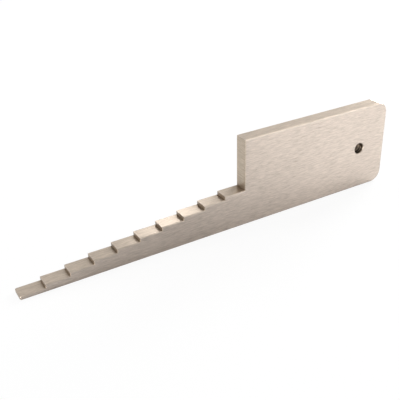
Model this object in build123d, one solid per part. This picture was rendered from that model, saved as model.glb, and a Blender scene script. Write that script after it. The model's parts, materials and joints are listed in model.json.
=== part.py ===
from build123d import *
import os

# Step gauge: one flat steel bar. Its upper edge climbs from a thin tip to the handle in equal
# steps, and the height of each tread above the base edge is what the gauge measures. The edges
# between treads and risers are left sharp, and all others are rounded or broken by hand.
# Frame: X runs along the gauge from the tip to the handle end, Y through the thickness, Z up.
# The origin is the middle of the base edge, on which the gauge stands.

# Driving sizes in millimetres
step_count = 10
first_step_height = 1.0      # the lowest tread above the base edge
step_rise = 1.0              # from one tread to the next
step_length = 6.0            # one tread along the gauge
handle_length = 47.0
handle_height = 24.0
plate_thickness = 4.0
handle_corner_radius = 3.2   # both corners at the end of the handle
edge_radius = 0.3            # round edges along the outline, on both large faces
tip_break = 0.2              # chamfer across the tip, above and below its end face
hole_diameter = 3.0
hole_end_distance = 9.0      # from the end of the handle to the axis of the hole
hole_break = 0.15            # chamfer at both mouths of the hole

# Places that follow from the driving sizes
stair_length = step_count * step_length
total_length = stair_length + handle_length
tip_x = -total_length / 2
handle_x = tip_x + stair_length
end_x = tip_x + total_length
hole_x = end_x - hole_end_distance
hole_z = handle_height / 2


def outline_corners():
    """Corners of the side view as pairs of X and Z, from the foot of the tip round to the end."""
    corners = [(tip_x, 0)]
    for step in range(step_count):
        tread_start = tip_x + step * step_length
        tread_z = first_step_height + step * step_rise
        corners.append((tread_start, tread_z))
        corners.append((tread_start + step_length, tread_z))
    corners.append((handle_x, handle_height))
    corners.append((end_x, handle_height))
    corners.append((end_x, 0))
    return corners


def side_view():
    """The stepped outline with the breaks across its tip and its round handle corners."""
    with BuildSketch(Plane.XZ) as view:
        with BuildLine():
            Polyline(*outline_corners(), close=True)
        make_face()
        chamfer(view.vertices().group_by(Axis.X)[0], tip_break)
        fillet(view.vertices().group_by(Axis.X)[-1], handle_corner_radius)
    return view.sketch


def step_gauge():
    """The whole gauge: the side view through the plate's thickness, round edges and the hole."""
    with BuildPart() as gauge:
        extrude(side_view(), amount=plate_thickness / 2, both=True)
        large_faces = gauge.faces().filter_by(Axis.Y)
        fillet(large_faces.edges(), edge_radius)
        with Locations(Plane((hole_x, 0, hole_z), z_dir=(0, 1, 0))):
            Hole(hole_diameter / 2)
        hole_mouths = gauge.edges(Select.NEW).filter_by(GeomType.CIRCLE)
        chamfer(hole_mouths, hole_break)
    return gauge.part


os.makedirs("parts", exist_ok=True)
export_step(step_gauge(), "parts/step_gauge.step")
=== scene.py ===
import json
import math

import bmesh
import bpy
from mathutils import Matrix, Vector

# A stainless step gauge that stands on its base edge in a pale studio.
# X runs from the tip to the handle, Y through the plate, Z up. Lengths are in metres.
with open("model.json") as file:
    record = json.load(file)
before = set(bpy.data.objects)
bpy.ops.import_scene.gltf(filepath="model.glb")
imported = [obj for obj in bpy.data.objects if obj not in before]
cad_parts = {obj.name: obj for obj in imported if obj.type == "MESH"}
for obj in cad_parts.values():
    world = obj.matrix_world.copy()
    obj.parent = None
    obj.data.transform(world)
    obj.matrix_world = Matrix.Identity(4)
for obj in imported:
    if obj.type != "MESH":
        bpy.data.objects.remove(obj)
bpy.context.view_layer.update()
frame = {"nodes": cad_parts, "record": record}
gauge = frame["nodes"]["step_gauge"]
mounts = {mount["name"]: mount for mount in frame["record"]["mounts"]}
print("frame loaded")

scene = bpy.context.scene
scene.view_settings.view_transform = "Standard"

# The camera stands in front of the tip and above it, and leans by about a degree.
cameraValues = {
    "place": (-0.07712, -0.12523, 0.09035),
    "turn": (60.881, 1.545, -30.576),  # degrees about X, Y and Z
    "lens": 59.795,  # in millimetres, as is the sensor
    "sensor": 36.0,
    "nearest": 0.01,  # what stands closer or farther off isn't seen
    "farthest": 10,
}


def addCamera(values):
    data = bpy.data.cameras.new("camera")
    data.lens = values["lens"]
    data.sensor_width = values["sensor"]
    data.clip_start = values["nearest"]
    data.clip_end = values["farthest"]
    camera = bpy.data.objects.new("camera", data)
    camera.location = values["place"]
    camera.rotation_euler = [math.radians(angle) for angle in values["turn"]]
    scene.collection.objects.link(camera)
    scene.camera = camera


addCamera(cameraValues)
print("camera placed")


def clearTree(owner):
    owner.use_nodes = True
    owner.node_tree.nodes.clear()
    return owner.node_tree


# Adds a node. Its inputs are plain values or other nodes' output sockets.
def addNode(tree, kind, settings=None, inputs=None):
    node = tree.nodes.new(kind)
    for name, value in (settings or {}).items():
        setattr(node, name, value)
    for name, value in (inputs or {}).items():
        if isinstance(value, bpy.types.NodeSocket):
            tree.links.new(value, node.inputs[name])
        else:
            node.inputs[name].default_value = value
    return node


def doMath(tree, operation, first, second=0.0):
    settings = {"operation": operation}
    return addNode(tree, "ShaderNodeMath", settings, {0: first, 1: second}).outputs[0]


# The same for vectors. It returns the node, because some operations put out a number instead.
def doVector(tree, operation, first, second):
    settings = {"operation": operation}
    return addNode(tree, "ShaderNodeVectorMath", settings, {0: first, 1: second})


# Moves a value from one range to another. By default it ends up between 0 and 1.
def mapRange(tree, value, fromRange, toRange=(0.0, 1.0)):
    inputs = {
        "Value": value,
        "From Min": fromRange[0],
        "From Max": fromRange[1],
        "To Min": toRange[0],
        "To Max": toRange[1],
    }
    return addNode(tree, "ShaderNodeMapRange", inputs=inputs).outputs[0]


# The studio: a pale floor, a white surround and soft lamps.
studioValues = {
    "floorSize": 6.0,
    "floorColour": (0.8, 0.8, 0.8, 1),
    "floorGlow": 0.92,  # share of the floor that the camera sees as plain white
    "floorSheen": 0.08,  # the same share as the steel mirrors it, on top of the floor's own light
    "surroundSheen": 0.8,  # the white surround as the steel mirrors it
    "surroundLight": 0.4,  # what the surround sheds on matt surfaces
    "lampDistance": 0.6,  # from the middle of the gauge's base edge
}

# Each lamp: its bearing from X towards Y and its height, both in degrees, then the width and
# height of its panel and its power in watts.
lampValues = {
    "sidePanel": {"bearing": -44, "climb": 5, "size": (0.36, 0.1), "power": 0.87},
    "stairLamp": {"bearing": 64, "climb": 34, "size": (0.065, 0.2), "power": 0.205},
    "handleLamp": {"bearing": 13, "climb": 50, "size": (0.2, 0.2), "power": 0.49},
    "floorPanel": {"bearing": 20, "climb": 20, "size": (0.2, 0.2), "power": 5.4},
    "topPanel": {"bearing": 90, "climb": 60, "size": (0.3, 0.3), "power": 0.17},
    "endPanel": {"bearing": 140, "climb": 55, "size": (0.2, 0.2), "power": 0.85},
    "edgeLamp": {"bearing": -52, "climb": 49, "size": (0.1, 0.1), "power": 0.13},
    "cornerLamp": {"bearing": 218, "climb": 6, "size": (0.4, 0.15), "power": 2.2},
}


# 1 where the camera looks straight or through glass, and 0 in reflections and for light.
def seenDirectly(tree, path):
    rays = path.outputs
    return doMath(tree, "MAXIMUM", rays["Is Camera Ray"], rays["Is Transmission Ray"])


def addFloor(values):
    mesh = bpy.data.meshes.new("floor")
    form = bmesh.new()
    bmesh.ops.create_grid(form, x_segments=1, y_segments=1, size=values["floorSize"] / 2)
    form.to_mesh(mesh)
    form.free()
    floor = bpy.data.objects.new("floor", mesh)
    scene.collection.objects.link(floor)
    material = bpy.data.materials.new("paleFloor")
    tree = clearTree(material)
    path = addNode(tree, "ShaderNodeLightPath")
    seen = doMath(tree, "MULTIPLY", seenDirectly(tree, path), values["floorGlow"])
    mirrored = doMath(tree, "MULTIPLY", path.outputs["Is Glossy Ray"], values["floorSheen"])
    share = doMath(tree, "MAXIMUM", seen, mirrored)
    matt = addNode(tree, "ShaderNodeBsdfDiffuse", inputs={"Color": values["floorColour"]})
    glow = addNode(tree, "ShaderNodeEmission")
    shaders = {0: share, 1: matt.outputs[0], 2: glow.outputs[0]}
    mix = addNode(tree, "ShaderNodeMixShader", inputs=shaders)
    addNode(tree, "ShaderNodeOutputMaterial", inputs={"Surface": mix.outputs[0]})
    mesh.materials.append(material)


def addWorld(values):
    world = bpy.data.worlds.new("surround")
    scene.world = world
    tree = clearTree(world)
    path = addNode(tree, "ShaderNodeLightPath")
    levels = (values["surroundLight"], values["surroundSheen"])
    mirrored = mapRange(tree, path.outputs["Is Glossy Ray"], (0.0, 1.0), levels)
    level = doMath(tree, "MAXIMUM", mirrored, seenDirectly(tree, path))
    white = {"Color": (1, 1, 1, 1), "Strength": level}
    background = addNode(tree, "ShaderNodeBackground", inputs=white)
    addNode(tree, "ShaderNodeOutputWorld", inputs={"Surface": background.outputs[0]})


def addLamp(name, values, distance):
    bearing, climb = math.radians(values["bearing"]), math.radians(values["climb"])
    data = bpy.data.lights.new(name, "AREA")
    data.shape = "RECTANGLE"
    data.size, data.size_y = values["size"]
    data.energy = values["power"]
    lamp = bpy.data.objects.new(name, data)
    outward = math.cos(climb)
    place = Vector((outward * math.cos(bearing), outward * math.sin(bearing), math.sin(climb)))
    lamp.location = place * distance
    lamp.rotation_euler = (-place).to_track_quat("-Z", "Y").to_euler()
    scene.collection.objects.link(lamp)


addFloor(studioValues)
addWorld(studioValues)
for name, values in lampValues.items():
    addLamp(name, values, studioValues["lampDistance"])
print("studio lit")

# Brushed stainless steel. Its grain runs along the gauge, and across on the faces that look
# along it. A contrast says how far the two ends of a value's range lie apart.
steelValues = {
    "faceColour": (0.50, 0.433, 0.378, 1),  # the two large faces
    "cutColour": (0.50, 0.422, 0.347, 1),  # cut faces along X: treads, handle top, base
    "endShadeColour": (0.445, 0.374, 0.295, 1),  # faces that look along X: risers, tip, handle ends, darker and browner as painted shade
    "wornAndHighlightColour": (0.54, 0.465, 0.40, 1),  # edges polished by handling, and a painted highlight along them
    "cornerShadeColour": (0.26, 0.21, 0.162, 1),  # painted shade in inner corners
    "endFacing": 0.75,  # a face looks along X where the X of its normal is over this
    "largeFacing": 0.9,  # and is a large one where the Y of its normal is over this
    "roughness": 0.33,
    "roughnessContrast": 0.06,
    "brushing": 0.87,  # how much further light spreads across the grain than along it
    "brushRun": (1, 0.02, 0),  # the brush's direction, a little off X for the end faces' sake
    "grainLength": 0.0026,
    "grainWidth": 0.00028,
    "grainContrast": 0.42,
    "grainDepth": 0.000003,
    "scratchShade": 0.12,  # how much darker the deeper scratches are
    "cloudSize": 0.018,  # broad, faint changes of tone
    "cloudDetail": 2.0,
    "cloudContrast": 0.08,
    "shadeSamples": 8,  # rays that look for edges and corners
    "wornAndHighlightWidth": 0.0003,
    "wornAndHighlightOpenness": (0.95, 0.55),  # where the polish and its painted highlight begin, and where they are full
    "cornerShadeReach": 0.006,
    "cornerShadeOpenness": (1.0, 0.55),  # the same for the painted shade in inner corners
    "boreShade": 0.9,
    "mouthWidth": 0.00028,  # the break round the bore's mouths, over which the bore's painted shade fades
    "ringWidth": 0.0008,  # marks that the drill left round the bore
    "ringStretch": 10,  # how much farther they run round the bore than they are wide
    "ringDetail": 1.0,
    "ringContrast": 1.7,
}

# The grain itself. In both dictionaries, a detail is how many finer layers a noise has.
grainValues = {
    "lineDetail": 4.0,
    "lineRoughness": 0.7,  # how strong the finer layers are
    "scratchScale": 1.7,  # scratches are this much finer than the brushed lines
    "scratchDetail": 1.0,
    "scratchBand": (0.6, 0.72),  # the noise's values at which a scratch begins and is full
}
noiseMiddle = (0.3, 0.7)  # most of a noise's values lie between these


# A noise whose spots lie about 1 / scale apart.
def addNoise(tree, place, scale, detail, roughness=0.5):
    inputs = {"Vector": place, "Scale": scale, "Detail": detail, "Roughness": roughness}
    return addNode(tree, "ShaderNodeTexNoise", inputs=inputs).outputs[0]


# Brushed lines and single deeper scratches along X, as long and wide as Length and Width say.
def makeGrain(values):
    group = bpy.data.node_groups.new("brushedGrain", "ShaderNodeTree")
    face = group.interface
    face.new_socket("Vector", in_out="INPUT", socket_type="NodeSocketVector")
    for name in ("Length", "Width"):
        face.new_socket(name, in_out="INPUT", socket_type="NodeSocketFloat")
    for name in ("Lines", "Scratches"):
        face.new_socket(name, in_out="OUTPUT", socket_type="NodeSocketFloat")
    ins = addNode(group, "NodeGroupInput").outputs
    outs = addNode(group, "NodeGroupOutput").inputs
    sizes = {"X": ins["Length"], "Y": ins["Width"], "Z": ins["Width"]}
    size = addNode(group, "ShaderNodeCombineXYZ", inputs=sizes).outputs[0]
    place = doVector(group, "DIVIDE", ins["Vector"], size).outputs[0]
    lines = addNoise(group, place, 1.0, values["lineDetail"], values["lineRoughness"])
    fine = addNoise(group, place, values["scratchScale"], values["scratchDetail"])
    group.links.new(lines, outs["Lines"])
    group.links.new(mapRange(group, fine, values["scratchBand"]), outs["Scratches"])
    return group


def mixColour(tree, share, first, second):
    inputs = {0: share, 6: first, 7: second}  # the node's sockets for a share and two colours
    return addNode(tree, "ShaderNodeMix", {"data_type": "RGBA"}, inputs).outputs[2]


def mixNumber(tree, share, first, second):
    inputs = {0: share, 2: first, 3: second}  # its sockets for a share and two numbers
    return addNode(tree, "ShaderNodeMix", {"data_type": "FLOAT"}, inputs).outputs[0]


# Stretches a noise's middle over a range round a mean, so that it scales a value up and down.
def vary(tree, noise, mean, contrast):
    return mapRange(tree, noise, noiseMiddle, (mean - contrast / 2, mean + contrast / 2))


# How open the surroundings are within a distance: outside the surface, or inside it at an edge.
def openness(tree, values, reach, inside=False):
    settings = {"inside": inside, "only_local": True, "samples": values["shadeSamples"]}
    node = addNode(tree, "ShaderNodeAmbientOcclusion", settings, {"Distance": reach})
    return node.outputs["AO"]


# How much painted shade darkens the bore's wall, with the drill's rings across its axis, which
# runs along Y.
def boreLevel(tree, values, place):
    slow = 1 / values["ringStretch"]
    stretch = {"Vector": place, "Scale": (slow, 1, slow)}
    stretched = addNode(tree, "ShaderNodeMapping", inputs=stretch).outputs[0]
    rings = addNoise(tree, stretched, 1 / values["ringWidth"], values["ringDetail"])
    level = vary(tree, rings, 1.0, values["ringContrast"])
    return doMath(tree, "MULTIPLY", level, values["boreShade"])


# Where the bore's painted shade falls: 1 on the bore's wall, fading to 0 over the break at its
# mouths.
def insideBore(tree, values, place, bore):
    wall = bore["dims"]["r_mm"] / 1000
    axis = (bore["pos_m"][0], 0, bore["pos_m"][2])
    flattened = doVector(tree, "MULTIPLY", place, (1, 0, 1)).outputs[0]
    radius = doVector(tree, "DISTANCE", flattened, axis).outputs["Value"]
    return mapRange(tree, radius, (wall + values["mouthWidth"], wall))


def brushedSteel(values, bore):
    material = bpy.data.materials.new("brushedSteel")
    tree = clearTree(material)
    coordinates = addNode(tree, "ShaderNodeTexCoord").outputs
    place = coordinates["Object"]
    normal = addNode(tree, "ShaderNodeNewGeometry").outputs["True Normal"]
    facing = addNode(tree, "ShaderNodeSeparateXYZ", inputs={0: coordinates["Normal"]}).outputs
    endShare = doMath(tree, "ABSOLUTE", facing["X"])
    endFace = doMath(tree, "GREATER_THAN", endShare, values["endFacing"])
    largeShare = doMath(tree, "ABSOLUTE", facing["Y"])
    largeFace = doMath(tree, "GREATER_THAN", largeShare, values["largeFacing"])

    # grain along X, and along Y on the end faces
    grain = {"node_tree": makeGrain(grainValues)}
    sizes = {"Length": values["grainLength"], "Width": values["grainWidth"]}
    quarterTurn = {"Vector": place, "Rotation": (0, 0, math.pi / 2)}
    turned = addNode(tree, "ShaderNodeMapping", inputs=quarterTurn).outputs[0]
    along = addNode(tree, "ShaderNodeGroup", grain, {"Vector": place, **sizes}).outputs
    across = addNode(tree, "ShaderNodeGroup", grain, {"Vector": turned, **sizes}).outputs
    lines = mixNumber(tree, endFace, along["Lines"], across["Lines"])
    scratches = mixNumber(tree, endFace, along["Scratches"], across["Scratches"])

    # how light the steel is: lines, clouds and scratches, and the drill's rings and painted shade
    # in the bore
    clouds = addNoise(tree, place, 1 / values["cloudSize"], values["cloudDetail"])
    lineLevel = vary(tree, lines, 1.0, values["grainContrast"])
    level = doMath(tree, "MULTIPLY", lineLevel, vary(tree, clouds, 1.0, values["cloudContrast"]))
    scratchLevel = mixNumber(tree, scratches, 1.0, 1 - values["scratchShade"])
    level = doMath(tree, "MULTIPLY", level, scratchLevel)
    inBore = insideBore(tree, values, place, bore)
    wallLevel = mixNumber(tree, inBore, 1.0, boreLevel(tree, values, place))
    level = doMath(tree, "MULTIPLY", level, wallLevel)

    # its tone: large and cut faces, end faces darkened as painted shade, then polished edges with
    # a painted highlight and painted shade in inner corners
    # polished edges, lightened further as a painted highlight
    edge = openness(tree, values, values["wornAndHighlightWidth"], inside=True)
    wornAndHighlight = mapRange(tree, edge, values["wornAndHighlightOpenness"])
    # painted shade: the steel darkens where inner corners close it in
    corner = openness(tree, values, values["cornerShadeReach"])
    paintedCornerShade = mapRange(tree, corner, values["cornerShadeOpenness"])
    colour = mixColour(tree, largeFace, values["cutColour"], values["faceColour"])
    # painted shade on the end faces
    colour = mixColour(tree, endFace, colour, values["endShadeColour"])
    colour = mixColour(tree, wornAndHighlight, colour, values["wornAndHighlightColour"])
    colour = mixColour(tree, paintedCornerShade, colour, values["cornerShadeColour"])
    scaled = {0: colour, "Scale": level}
    colour = addNode(tree, "ShaderNodeVectorMath", {"operation": "SCALE"}, scaled).outputs[0]

    ridges = {"Strength": 1.0, "Distance": values["grainDepth"], "Height": lines}
    relief = addNode(tree, "ShaderNodeBump", inputs=ridges)
    tangent = doVector(tree, "CROSS_PRODUCT", normal, values["brushRun"])
    steel = addNode(tree, "ShaderNodeBsdfPrincipled", inputs={
        "Base Color": colour,
        "Metallic": 1.0,
        "Roughness": vary(tree, lines, values["roughness"], values["roughnessContrast"]),
        "Anisotropic": values["brushing"],
        "Normal": relief.outputs[0],
        "Tangent": tangent.outputs[0],
    })
    addNode(tree, "ShaderNodeOutputMaterial", inputs={"Surface": steel.outputs[0]})
    return material


steel = brushedSteel(steelValues, mounts["hanging_hole"])
for slot in gauge.material_slots:
    slot.material = steel
print("steel finished")
